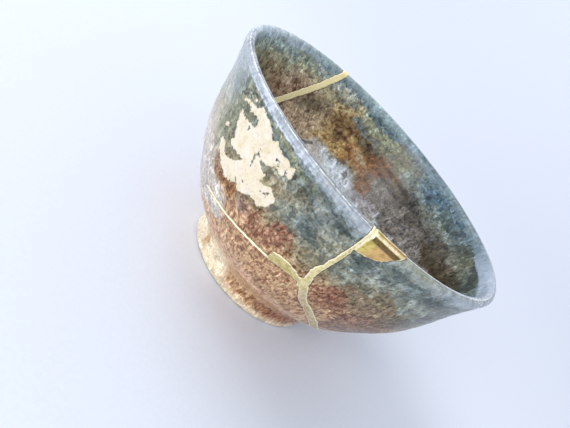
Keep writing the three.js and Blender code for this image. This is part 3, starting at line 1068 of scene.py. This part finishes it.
class Nodes:
    """A short way to write a material's nodes. Sizes of noise are in millimetres."""

    def __init__(self, name):
        self.material = bpy.data.materials.new(name)
        self.material.use_nodes = True
        self.tree = self.material.node_tree
        self.tree.nodes.clear()
        self.output = self.tree.nodes.new("ShaderNodeOutputMaterial")
        self.place = self.tree.nodes.new("ShaderNodeTexCoord").outputs["Object"]

    def link(self, source, socket):
        """Joins a node's output to a socket, or sets the socket to a number or a colour."""
        if isinstance(source, bpy.types.NodeSocket):
            self.tree.links.new(source, socket)
        elif isinstance(source, tuple) and socket.type == "RGBA":
            socket.default_value = (*source[:3], 1.0)
        else:
            socket.default_value = source

    def node(self, kind, inputs, output=0, **settings):
        """An output of a new node, with the node's settings and its inputs."""
        node = self.tree.nodes.new("ShaderNode" + kind)
        for key, value in settings.items():
            setattr(node, key, value)
        for key, value in inputs.items():
            self.link(value, node.inputs[key])
        return node.outputs[output]

    def vector(self, operation, a, b):
        second = "Scale" if operation == "SCALE" else 1
        return self.node("VectorMath", {0: a, second: b}, operation=operation)

    def moved(self, x, y, z):
        return self.vector("ADD", self.place, (x, y, z))

    def flow(self, around, upward):
        """Coordinates that follow the wall: noise on them is drawn out where a scale is small."""
        flat = self.vector("NORMALIZE", self.vector("MULTIPLY", self.place, (1, 1, 0)), (0, 0, 0))
        ring = self.vector("SCALE", flat, WALL_RADIUS * MM * around)
        return self.vector("ADD", ring, self.vector("MULTIPLY", self.place, (0, 0, upward)))

    def attribute(self, name, output="Fac"):
        return self.node("Attribute", {}, output, attribute_name=name)

    def noise(self, size_mm, detail, roughness=0.55, distortion=0.0, place=None):
        inputs = {"Vector": place or self.place, "Scale": 1000 / size_mm, "Detail": detail}
        inputs |= {"Roughness": roughness, "Distortion": distortion}
        return self.node("TexNoise", inputs, "Fac")

    def math(self, operation, a, b=0.0):
        return self.node("Math", {0: a, 1: b}, operation=operation)

    def plus(self, a, b):
        return self.math("ADD", a, b)

    def less(self, a, b):
        return self.math("SUBTRACT", a, b)

    def times(self, a, *others):
        for b in others:
            a = self.math("MULTIPLY", a, b)
        return a

    def away(self, a, b):
        return self.math("ABSOLUTE", self.less(a, b))

    def stray(self, noise, reach):
        """Turns a noise into a distance that strays to either side of 0."""
        return self.times(self.less(noise, 0.5), reach)

    def ramp(self, value, low, high, to_low=0.0, to_high=1.0):
        """Eases from to_low to to_high while the value goes from low to high."""
        inputs = {"Value": value, "From Min": low, "From Max": high, "To Min": to_low, "To Max": to_high}
        return self.node("MapRange", inputs, "Result", interpolation_type="SMOOTHSTEP")

    def mix(self, factor, a, b, blend="MIX"):
        inputs = {"Factor": factor, "A": a, "B": b}
        return self.node("Mix", inputs, "Result", data_type="RGBA", blend_type=blend)

    def tinted(self, amount, colour, tint):
        """Multiplies a colour by a tint, as far as the amount says."""
        return self.mix(amount, colour, self.mix(1.0, colour, tint, "MULTIPLY"))

    def bump(self, height, strength, distance_mm, **under):
        inputs = {"Strength": strength, "Distance": distance_mm * MM, "Height": height, **under}
        return self.node("Bump", inputs, "Normal")

    def surface(self, **sockets):
        inputs = {name.replace("_", " "): value for name, value in sockets.items()}
        self.link(self.node("BsdfPrincipled", inputs, "BSDF"), self.output.inputs["Surface"])
        return self.material


class GlazeNodes(Nodes):
    """The layers of the glaze, which share some of their noises."""

    def __init__(self, name):
        super().__init__(name)
        self.grain = self.attribute("grain")
        self.soft = self.noise(2.4, 4, 0.62, 0.8)
        self.fine = self.noise(0.9, 3, 0.7)
        self.curd = self.noise(2.2, 5, 0.7, 1.0, self.moved(0.3, 0.1, 0.2))
        self.band = self.noise(1.6, 4, 0.65, 0.3, self.flow(0.22, 1))
        self.run = self.noise(1.4, 3, 0.6, 0.2, self.flow(1, 0.2))

    def two_glazes(self):
        """The first glaze, the second one where it breaks through in curds, and how earthy they are."""
        broken = self.plus(self.curd, self.times(self.attribute("bloom", "Alpha"), 0.52))
        bloom = self.ramp(broken, 0.70, 0.80)
        colour = self.mix(bloom, self.attribute("glaze", "Color"), self.attribute("bloom", "Color"))
        earthy = self.attribute("glaze", "Alpha")
        warmer = self.less(self.attribute("bloom_earthy"), earthy)
        return colour, self.plus(earthy, self.times(bloom, warmer))

    def mottled(self, colour, earthy):
        """Blots, clouds, bands, runs and flecks, each of them a tint of what lies under it."""
        deep, light = self.mix(earthy, *DEEP), self.mix(earthy, *LIGHT)
        inner = self.attribute("inside")
        crisp = self.less(1.0, self.times(inner, 0.75))
        drip = self.flow(1, 0.45)
        blot = self.ramp(self.noise(4.0, 3, 0.55, 1.8), 0.47, 0.4)
        cloud = self.ramp(self.noise(5.0, 4, 0.6, 1.2), 0.52, 0.6, 0, 0.7)
        streak = self.ramp(self.run, 0.47, 0.36, 0, 0.3)
        drop = self.ramp(self.noise(1.6, 4, 0.62, 0.5, drip), 0.54, 0.6, 0, 0.85)
        toast = self.ramp(self.noise(1.4, 3, 0.6), 0.52, 0.6)
        red = self.ramp(self.noise(0.95, 2, 0.5, 0, drip), 0.53, 0.57)
        pale = self.ramp(self.noise(0.7, 2, 0.5, 0.5, drip), 0.56, 0.6)
        whorl = self.ramp(self.away(self.noise(3.2, 2, 0.5, 2.2), 0.5), 0.03, 0.006, 0, 0.8)
        patch = self.noise(2.6, 2, 0.5, 1.4, self.moved(0.5, 0.2, 0.7))
        pit = self.ramp(patch, 0.47, 0.41)
        for amount, tint in (
            (self.times(blot, self.ramp(earthy, 0.6, 0.1, 0.25, 0.6)), deep),
            (self.ramp(self.soft, 0.47, 0.39, 0, 0.75), deep),
            (cloud, light),
            (self.ramp(self.band, 0.53, 0.6, 0, 0.6), light),
            (self.times(streak, self.ramp(earthy, 0.3, 0.9, 1, 0)), deep),
            (self.times(self.ramp(self.fine, 0.49, 0.41, 0, 0.65), crisp), deep),
            (drop, light),
            (self.times(toast, self.ramp(earthy, 0.2, 0.9, 0.6, 0.2)), TOASTED),
            (self.times(red, earthy, crisp), RED_FLECK),
            (self.times(pale, earthy, crisp), PALE_FLECK),
            (self.times(whorl, inner), light),
            (self.times(pit, self.ramp(earthy, 0, 1, 0.5, 0.85), inner), deep),
            (self.times(self.ramp(patch, 0.54, 0.62, 0, 0.45), inner), light),
        ):
            colour = self.tinted(self.times(amount, self.grain), colour, tint)
        return colour

    def lip_glaze_and_light_lines(self, colour):
        """Light and dark lines along the lip, where the glaze gathered and ran thin."""
        turn = self.plus(self.attribute("lip_turn"), self.stray(self.soft, 22.0))
        line_breakup = self.ramp(self.fine, 0.43, 0.53, 0.1, 1.0)
        for side, middle, half, strength, code in LIP_GLAZE_AND_LIGHT_LINES:
            line = self.ramp(self.away(turn, middle), half, half * 0.3, 0, strength)
            colour = self.mix(self.times(line, self.attribute(side), line_breakup), colour, rgb(code))
        near = self.times(self.ramp(turn, -10.0, 14.0), self.attribute("near_lip"))
        pale, dark = LIP_RUNS_AND_SHEEN
        # painted sheen in the pale streaks
        colour = self.mix(self.times(self.ramp(self.band, 0.53, 0.6, 0, 0.35), near), colour, rgb(pale))
        return self.mix(self.times(self.ramp(self.run, 0.47, 0.41, 0, 0.4), near), colour, rgb(dark))

    def gold_shadow_and_iron(self, colour):
        """The dark line beside the gold, and the strokes of iron."""
        outline = self.ramp(self.attribute("gold_gap"), 0.45, 0.05, 0, 0.8)
        colour = self.mix(outline, colour, rgb(GOLD_SHADOW_LINE))
        ink = self.plus(self.attribute("ink_gap"), self.stray(self.soft, 2.0))
        return self.mix(self.ramp(ink, 0.5, 0.15, 0, 0.85), colour, rgb(IRON))

    def gilded(self, colour):
        """The torn gold leaf with its shadow, and where it lies."""
        frayed = self.stray(self.noise(0.8, 4, 0.75), 2.4)
        torn = self.stray(self.noise(2.2, 3, 0.6, 1.0), 1.6)
        edge = self.plus(self.attribute("leaf_gap"), self.plus(self.plus(frayed, torn), -0.15))
        halo = self.times(self.ramp(edge, 2.4, 0.2, 0, 0.55), self.ramp(self.curd, 0.42, 0.56))
        colour = self.tinted(halo, colour, LEAF_SHADE)
        # Painted shadow along the leaf's torn edge
        rim = self.times(self.ramp(edge, 0.4, 0.0), self.ramp(self.soft, 0.42, 0.56, 0.25, 0.85))
        colour = self.mix(rim, colour, rgb(LEAF_EDGE_SHADOW))
        sheet = tuple(look("gold_colours").leaf)
        sheet = self.mix(self.ramp(self.noise(3.4, 3), 0.45, 0.62), sheet, rgb(LEAF_DUST))
        sheet = self.mix(self.ramp(self.noise(4.5, 2), 0.5, 0.62, 0, 0.5), sheet, rgb(LEAF_BLUSH))
        sheet = self.mix(self.ramp(self.fine, 0.47, 0.36, 0, 0.35), sheet, rgb(LEAF_RUB))
        leaf = self.ramp(edge, 0.04, -0.04)
        return self.mix(leaf, colour, sheet), leaf


def glaze_material(name):
    """Mottled, flecked stoneware glaze with a worn skin of gold leaf where the piece has one."""
    n = GlazeNodes(name)
    colour = n.lip_glaze_and_light_lines(n.mottled(*n.two_glazes()))
    colour, leaf = n.gilded(n.gold_shadow_and_iron(colour))
    relief = n.plus(n.times(n.soft, 0.6), n.times(n.fine, 0.35))
    relief = n.times(relief, n.ramp(n.grain, 0.2, 0.8, 0.4, 1.0))
    return n.surface(
        Base_Color=colour,
        Roughness=n.plus(n.ramp(n.soft, 0.35, 0.65, 0.24, 0.38), n.times(leaf, 0.18)),
        Metallic=n.times(leaf, 0.12),
        Normal=n.bump(leaf, 0.7, 0.07, Normal=n.bump(relief, 0.4, 0.25)),
        Coat_Weight=0.08,
        Coat_Roughness=0.12,
        Specular_IOR_Level=0.32,
    )


def lacquer_material(name, smooth, rough):
    """Gold dust on lacquer, as smooth and as rough as given, bright on its ridges and worn between."""
    n = Nodes(name)
    paint, plain = n.attribute("gold", "Color"), n.attribute("gold", "Alpha")
    grain = n.noise(0.6, 3, 0.6)
    cloud = n.noise(1.6, 3, 0.6, 0.5)
    dull = n.ramp(plain, 0.15, 1.0, 0.2, 1.0)
    colour = n.tinted(n.times(n.ramp(cloud, 0.48, 0.58, 0, 0.75), dull), paint, DULL_GOLD)
    colour = n.tinted(n.times(n.ramp(grain, 0.5, 0.38, 0, 0.4), dull), colour, DARK_GRAIN)
    edge = n.plus(n.attribute("gold_edge"), n.stray(n.noise(0.9, 3, 0.6), 0.9))
    # Painted highlight along the gold's raised edges
    ridge = n.times(n.ramp(edge, 0.5, 0.2), n.ramp(plain, 0.0, 0.15, 0, 0.85))
    return n.surface(
        Base_Color=n.mix(ridge, colour, tuple(look("gold_colours").pale_lacquer)),
        Roughness=n.ramp(cloud, 0.3, 0.7, smooth, rough),
        Metallic=n.times(plain, 0.35),
        Normal=n.bump(n.plus(n.times(grain, 0.5), cloud), 0.75, 0.16),
        Coat_Weight=0.1,
        Coat_Roughness=0.2,
    )


# ---------------------------------------------------------------- the pieces

SHARDS = (
    # piece, CAD node, material slot, a place in it: degrees and height
    ("gilded_shard", "gilded_wall_shard", "gilded_wall_glaze", 240, 52),
    ("plain_shard", "plain_wall_shard", "plain_wall_glaze", 0, 45),
    ("footed_shard", "foot_shard", "foot_glaze", 270, 22),
)
GILDED = "gilded_shard"
CRUMB = 2000  # a loose part with fewer vertices is a crumb from the edge of a cut
LEAF_BORDER = 1.5  # the mesh is made finer this far round the gold leaf
SHARD_CREASE, GOLD_CREASE = 35, 50  # degrees from which an edge stays sharp
GOLD_BORDER = 0.9  # the mend's mesh is made finer this far beside the gold
GOLD_SPARE = 0.32  # the mend is cut this much wider than the gold
SINK = 0.35  # how deep the mend goes under the glaze beside it
SHALLOW = 0.03  # the whole mend lies this much lower
SOLE = 0.35  # under this height the gold stays flush with the foot
PILLOW = 0.45  # the gold reaches its full height this far from its edge, or in its middle


def cracks(bowl):
    return [
        Crack(bowl, LONG_CRACK, seed=11.3),
        Crack(bowl, FOOT_CRACK, UNDER_CRACK, BACK_CRACK, seed=3.7),
        Crack(bowl, RIM_CRACK, seed=7.9),
    ]


def mend_gap(spots, lines):
    """Distance past the nearest edge of the gold in the cracks, and half the width of the gold there."""
    gap = np.full(len(spots), FAR)
    half = np.ones(len(spots))
    for line in lines:
        one, width = line.gap(spots)
        closer = one < gap
        gap = np.where(closer, one, gap)
        half = np.where(closer, width, half)
    return gap, half


def dress(obj, node, material):
    obj.data.materials.clear()
    obj.data.materials.append(material)
    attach(obj, "root")
    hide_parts(node)


class BOWL_OT_shards(bpy.types.Operator):
    """Throw the bowl, break it along its cracks and glaze the three shards"""

    bl_idname = "bowl.shards"
    bl_label = "Glazed shards"

    def execute(self, context):
        bowl = Skin()
        lines = cracks(bowl)
        whole = thrown_bowl("whole_bowl", bowl)
        parts = self.broken(whole, lines)
        for name, node, slot, degrees, height in SHARDS:
            angle = math.radians(degrees)
            radius = float(np.interp(height, bowl.curve[:, 1], bowl.curve[:, 0]))
            mark = np.array([math.cos(angle) * radius, math.sin(angle) * radius, height])
            part = min(parts, key=lambda p: np.linalg.norm(spots_of(p.data) - mark, axis=1).min())
            parts.remove(part)
            part.name = part.data.name = name
            self.glaze(part, bowl, lines)
            shade_smooth(part, SHARD_CREASE)
            dress(part, node, glaze_material(slot))
        return {"FINISHED"}

    def broken(self, whole, lines):
        """The shards that are left when the cracks and the chip are cut out."""
        tuck = look("gold_sizes").tuck / MM
        cutters = [line.blade(f"blade_{i}", -tuck) for i, line in enumerate(lines)]
        for cutter in (*cutters, chip_block("chip", -tuck)):
            carve(whole, cutter, "DIFFERENCE")
            discard(cutter)
        pieces = loose_parts(whole)
        parts = [part for part in pieces if len(part.data.vertices) > CRUMB]
        discard(*(crumb for crumb in pieces if crumb not in parts))
        if len(parts) != len(SHARDS):
            raise RuntimeError(f"the bowl broke into {len(parts)} shards, not {len(SHARDS)}")
        return parts

    def glaze(self, part, bowl, lines):
        """Paints a shard's points with what its glaze's shader reads."""
        gilded = part.name == GILDED
        if gilded:
            refine(part, lambda middles: np.minimum(*leaf_gap(middles)) < LEAF_BORDER)
        spots = spots_of(part.data)
        coat = GlazeCoat(spots, bowl)
        leaf, ink = leaf_gap(spots) if gilded else np.full((2, len(spots)), FAR)
        layers = coat.layers()
        layers["gold_gap"] = np.minimum(mend_gap(spots, lines)[0], chip_gap(spots))
        layers["leaf_gap"] = np.where(coat.inside, FAR, leaf)
        layers["ink_gap"] = np.where(coat.inside, FAR, ink)
        for key, values in layers.items():
            keep_layer(part.data, key, values)


def mend_shell(name, bowl, lines):
    """The bowl again, swollen where the gold lies and sunk under the glaze beside it."""
    shell = thrown_bowl(name, bowl)
    refine(shell, lambda middles: np.minimum(mend_gap(middles, lines)[0], chip_gap(middles)) < GOLD_BORDER)
    gold = look("gold_sizes")
    spots = spots_of(shell.data)
    gap, half = mend_gap(spots, lines)
    chip = chip_gap(spots)
    half = np.where(chip < gap, 2.0, half)
    gap = np.minimum(gap, chip)
    share = np.clip(-gap / np.minimum(half, PILLOW), 0, 1)
    pillow = gold.rise / MM * (1 - (1 - share) ** 2.4)
    ridge = gold.ridge / MM * np.exp(-(((-gap - 0.28) / 0.16) ** 2)) * (gap < 0)
    sink = -SINK * np.clip(gap / SINK, 0, 1)
    offset = np.where(gap < 0, pillow + ridge, sink) - SHALLOW
    dust = np.array([noise.noise(Vector(s) * 0.8) + 0.5 * noise.noise(Vector(s) * 2.4) for s in spots])
    offset += np.where(gap < -0.1, 0.05 * dust, 0)
    offset = np.where((spots[:, 2] < SOLE) & (gap < 0), np.minimum(offset, 0), offset)
    moved = spots + vectors_of(shell.data.vertex_normals, "vector") * offset[:, None]
    moved[:, 2] = np.maximum(moved[:, 2], 0)
    shell.data.vertices.foreach_set("co", (moved * MM).ravel())
    shell.data.update()
    return shell


# Tones across the lip of the rim fill, the cream ones painted highlights and the dark ones painted shade:
# gold, degrees round the lip where it starts, is full, fades and ends, and strength
FILL_TONES = (
    ("fill_shade", -14, 0, 24, 33, 0.9),
    ("cream_gold", 26, 34, 46, 54, 1.0),
    ("fill_shade", 60, 64, 70, 76, 0.8),
    ("cream_gold", 72, 78, 92, 100, 1.0),
)


def paint_gold(obj, first, tones, metal, edge):
    """Colours the gold one tone over another, with how metallic it looks and how far its edge is."""
    colours = {key: np.array(getattr(look("gold_colours"), key)) for key in GoldColours.__annotations__}
    count = len(obj.data.vertices)
    paint = np.tile(colours[first], (count, 1))
    for name, weight in tones:
        paint = paint + (colours[name] - paint) * np.clip(weight, 0, 1)[:, None]
    keep_layer(obj.data, "gold", np.column_stack([paint, np.broadcast_to(metal, count)]))
    keep_layer(obj.data, "gold_edge", np.clip(edge, -1, 4))


def paint_fill(obj, bowl):
    """The rim fill: yellow to tan along it, with two bright ridges and a dark groove."""
    spots = spots_of(obj.data)
    right, _ = chip_axes()
    radius, _ = round_the_bowl(spots)
    over = lip_turn(radius, spots[:, 2], bowl)
    over = np.where(spots[:, 2] > bowl.sizes["wall_height"] - 2, over, -90)
    tones = [("fill_tan", smoothstep(-4.5, -1.5, spots @ right))]
    tones += [(name, window(over, *reach) * strength) for name, *reach, strength in FILL_TONES]
    paint_gold(obj, "fill_yellow", tones, 1.0, -chip_gap(spots))


def paint_seam(obj, lines):
    """The gold in the cracks, thin and pale on the left and across the far wall, and rubbed off between."""
    spots = spots_of(obj.data)
    height = spots[:, 2]
    _, degrees = round_the_bowl(spots)
    gap, _ = mend_gap(spots, lines)
    thin = smoothstep(272, 268, degrees) * smoothstep(40, 35, height)
    far = smoothstep(170, 150, degrees)
    rubbed = window(degrees, 200, 212, 231, 234) * (height > 20)
    tones = (
        ("belly", smoothstep(284.5, 281, degrees) * smoothstep(41, 39, height)),
        ("cream_gold", thin),
        # across the far wall the pale gold is painted brighter, as a painted highlight
        ("straw_gold", far),
        ("worn_lacquer", smoothstep(284, 288, degrees) * smoothstep(38, 34, height) * 0.95),
        ("rubbed", rubbed),
    )
    metal = (1 - 0.85 * np.clip(thin + far, 0, 1)) * (1 - rubbed)
    paint_gold(obj, "lacquer", tones, metal, -gap)


class BOWL_OT_gold_seam(bpy.types.Operator):
    """Fill the cracks with gold lacquer and the chip in the lip with a gold fill"""

    bl_idname = "bowl.gold_mend"
    bl_label = "Gold lacquer"

    def execute(self, context):
        bowl = Skin()
        lines = cracks(bowl)
        shell = mend_shell("mend_shell", bowl, lines)
        long, foot, rim = (line.blade(f"gold_{i}", GOLD_SPARE) for i, line in enumerate(lines))
        block = chip_block("chip", GOLD_SPARE)
        fill = carve(linked("rim_fill", shell.data.copy()), block, "INTERSECT")
        carve(fill, rim, "DIFFERENCE")
        for blade in (foot, rim):
            carve(long, blade, "UNION")
        seam = carve(shell, long, "INTERSECT")
        discard(long, foot, rim, block)
        paint_seam(seam, lines)
        paint_fill(fill, bowl)
        for piece, name, node, slot, smooth, rough in (
            (seam, "gold_seam", "gold_lacquer_seam", "gold_lacquer", 0.36, 0.52),
            (fill, "rim_fill", "gold_rim_fill", "gold_fill_lacquer", 0.26, 0.4),
        ):
            piece.name = piece.data.name = name
            shade_smooth(piece, GOLD_CREASE)
            dress(piece, node, lacquer_material(slot, smooth, rough))
        return {"FINISHED"}


# ---------------------------------------------------------------- the stage

# The floor, in metres: radius of its flat part and of the bend round it, and length of the slope beyond
FLOOR_FLAT, FLOOR_BEND, FLOOR_RISE = 0.5, 1.2, 2.5
FLOOR_SLOPE = 42  # degrees
FLOOR_TURNS = 96  # facets round the floor
# Soft lights: name, direction from its aim, distance, size, share of the key's power, colour and aim
WARM_WHITE = (1, 0.97, 0.93)
BOWL_MIDDLE = (0, 0, 0.035)
LAMPS = (
    ("key", (-0.72, 0.15, 0.68), 0.9, 0.7, 1.0, WARM_WHITE, BOWL_MIDDLE),
    ("front", (-0.3, -0.85, 0.33), 1.0, 0.6, 1.5, WARM_WHITE, BOWL_MIDDLE),
    ("backdrop", (0, -0.5, 0.85), 1.0, 0.8, 0.9, (1, 1, 1), (0, 1.5, 0.3)),
)
SKY = (1.0, 0.985, 0.96, 1)
# The camera turns about this place, and then aside by these tangents to the right and up
CAMERA_PIVOT = (0, 0, 0.03326)
CAMERA_ASIDE = (-0.0292, -0.0349)
CAMERA_DISTANCE = 0.2236
CAMERA_ELEVATION = 21.73  # degrees that it looks down
CAMERA_ROLL = 48.6  # degrees that it is rolled, so that the bowl seems to lie on its side


def pale_floor(stage):
    """A flat floor that bends up into a backdrop all round."""
    slope = math.radians(FLOOR_SLOPE)
    bend = [(math.sin(t), 1 - math.cos(t)) for t in np.linspace(0, slope, 14)]
    cove = [(0.0, 0.0), (FLOOR_FLAT / 2, 0.0)]
    cove += [(FLOOR_FLAT + FLOOR_BEND * across, FLOOR_BEND * up) for across, up in bend]
    cove.append((cove[-1][0] + FLOOR_RISE * math.cos(slope), cove[-1][1] + FLOOR_RISE * math.sin(slope)))
    bm = bmesh.new()
    ring = [bm.verts.new((r, 0, z)) for r, z in cove]
    edges = [bm.edges.new(pair) for pair in zip(ring, ring[1:])]
    turn = {"cent": (0, 0, 0), "axis": (0, 0, 1), "angle": math.tau}
    bmesh.ops.spin(bm, geom=ring + edges, steps=FLOOR_TURNS, use_merge=True, **turn)
    bmesh.ops.remove_doubles(bm, verts=bm.verts, dist=MM / 100)
    bmesh.ops.recalc_face_normals(bm, faces=bm.faces)
    bmesh.ops.reverse_faces(bm, faces=bm.faces)
    floor = linked("floor", mesh_of("floor", bm))
    floor.data.shade_smooth()
    n = Nodes("pale_floor")
    speckle = n.ramp(n.noise(1.5, 2), 0.3, 0.7, 0, 0.12)
    tint = n.mix(speckle, tuple(stage.floor_colour), rgb("cfd6e6"))
    floor.data.materials.append(n.surface(Base_Color=tint, Roughness=0.85))


def soft_light(stage):
    """A pale sky and large soft lights."""
    world = bpy.data.worlds.new("soft_sky")
    world.use_nodes = True
    sky = world.node_tree.nodes["Background"]
    sky.inputs["Color"].default_value = SKY
    sky.inputs["Strength"].default_value = stage.sky_strength
    bpy.context.scene.world = world
    for name, direction, distance, size, share, colour, aim in LAMPS:
        data = bpy.data.lights.new(name, "AREA")
        data.shape = "DISK"
        data.size = size
        data.energy = stage.key_power * share
        data.color = colour
        lamp = linked(name, data)
        lamp.location = Vector(aim) + Vector(direction).normalized() * distance
        lamp.rotation_euler = (lamp.location - Vector(aim)).to_track_quat("Z", "Y").to_euler()
        lamp.visible_camera = False


def close_camera(stage):
    """The camera, near the bowl, looking down on it and rolled."""
    data = bpy.data.cameras.new("camera")
    data.sensor_width = 36
    data.lens = stage.lens
    data.clip_start = 0.01
    data.clip_end = 20
    camera = linked("camera", data)
    elevation, roll = math.radians(CAMERA_ELEVATION), math.radians(CAMERA_ROLL)
    ahead = Vector((0, math.cos(elevation), -math.sin(elevation)))
    spot = Vector(CAMERA_PIVOT) - ahead * CAMERA_DISTANCE
    right = Vector((1, 0, 0))
    aside, upward = CAMERA_ASIDE
    ahead = (ahead + aside * right + upward * right.cross(ahead)).normalized()
    right = ahead.cross(Vector((0, 0, 1))).normalized()
    up = right.cross(ahead)
    turned_right = math.cos(roll) * right + math.sin(roll) * up
    turned_up = math.cos(roll) * up - math.sin(roll) * right
    matrix = camera.matrix_world.copy()
    for column, axis in enumerate((turned_right, turned_up, -ahead, spot)):
        for row in range(3):
            matrix[row][column] = axis[row]
    camera.matrix_world = matrix
    bpy.context.scene.camera = camera


class BOWL_OT_stage(bpy.types.Operator):
    """Set the pale floor with its curved backdrop, the soft lights and the camera"""

    bl_idname = "bowl.stage"
    bl_label = "Stage"

    def execute(self, context):
        stage = look("stage_look")
        pale_floor(stage)
        soft_light(stage)
        close_camera(stage)
        context.scene.view_settings.view_transform = "Standard"
        return {"FINISHED"}


class BOWL_PT_panel(bpy.types.Panel):
    """Lists the pieces of the bowl and what can be changed"""

    bl_idname = "BOWL_PT_panel"
    bl_label = "Kintsugi bowl"
    bl_space_type = "VIEW_3D"
    bl_region_type = "UI"
    bl_category = "Kintsugi"

    def draw(self, context):
        for step in STEPS:
            self.layout.operator(step.bl_idname, text=step.bl_label)
        for group, owner in GROUPS:
            box = self.layout.box()
            box.label(text=owner.__doc__)
            for key in owner.__annotations__:
                box.prop(getattr(context.scene, group), key)


GROUPS = (
    ("bowl_sizes", BowlSizes),
    ("gold_sizes", GoldSizes),
    ("glaze_colours", GlazeColours),
    ("gold_colours", GoldColours),
    ("stage_look", StageLook),
)
STEPS = (BOWL_OT_shards, BOWL_OT_gold_seam, BOWL_OT_stage)


def register():
    for group, owner in GROUPS:
        bpy.utils.register_class(owner)
        setattr(bpy.types.Scene, group, bpy.props.PointerProperty(type=owner))
    for owner in (*STEPS, BOWL_PT_panel):
        bpy.utils.register_class(owner)


def unregister():
    for owner in (BOWL_PT_panel, *reversed(STEPS)):
        bpy.utils.unregister_class(owner)
    for group, owner in reversed(GROUPS):
        delattr(bpy.types.Scene, group)
        bpy.utils.unregister_class(owner)


def main():
    register()
    for step in STEPS:
        area, word = step.bl_idname.split(".")
        getattr(getattr(bpy.ops, area), word)()


if __name__ == "__main__":
    main()
